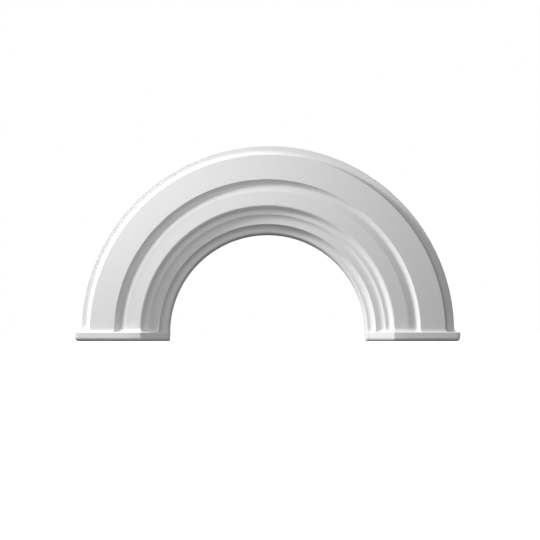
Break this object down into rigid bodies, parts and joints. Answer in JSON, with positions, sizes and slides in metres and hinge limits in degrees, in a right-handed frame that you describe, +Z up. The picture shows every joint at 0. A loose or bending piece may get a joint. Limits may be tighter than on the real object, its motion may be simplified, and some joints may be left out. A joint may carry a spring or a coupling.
{
  "type": "arch trim moulding",
  "caption": "Half-round arch surround with a stepped reveal of three curved risers, two flat bands with a groove between them, a hollow outer edge, and a small foot moulding at each end.",
  "frame": {"origin": "on the ground under the feet, midway between the feet and midway from the flat back to the front", "axes": "+X along the span, +Z up, -Y out of the moulded front; the flat back faces +Y"},
  "size_m": [1.177, 0.1006, 0.6],
  "materials": {
    "primed_white": "factory-primed white moulded foam with a fine, slightly uneven skin and a low sheen"
  },
  "bodies": {
    "root": {"arch_trim": "primed_white"}
  },
  "joints": []
}
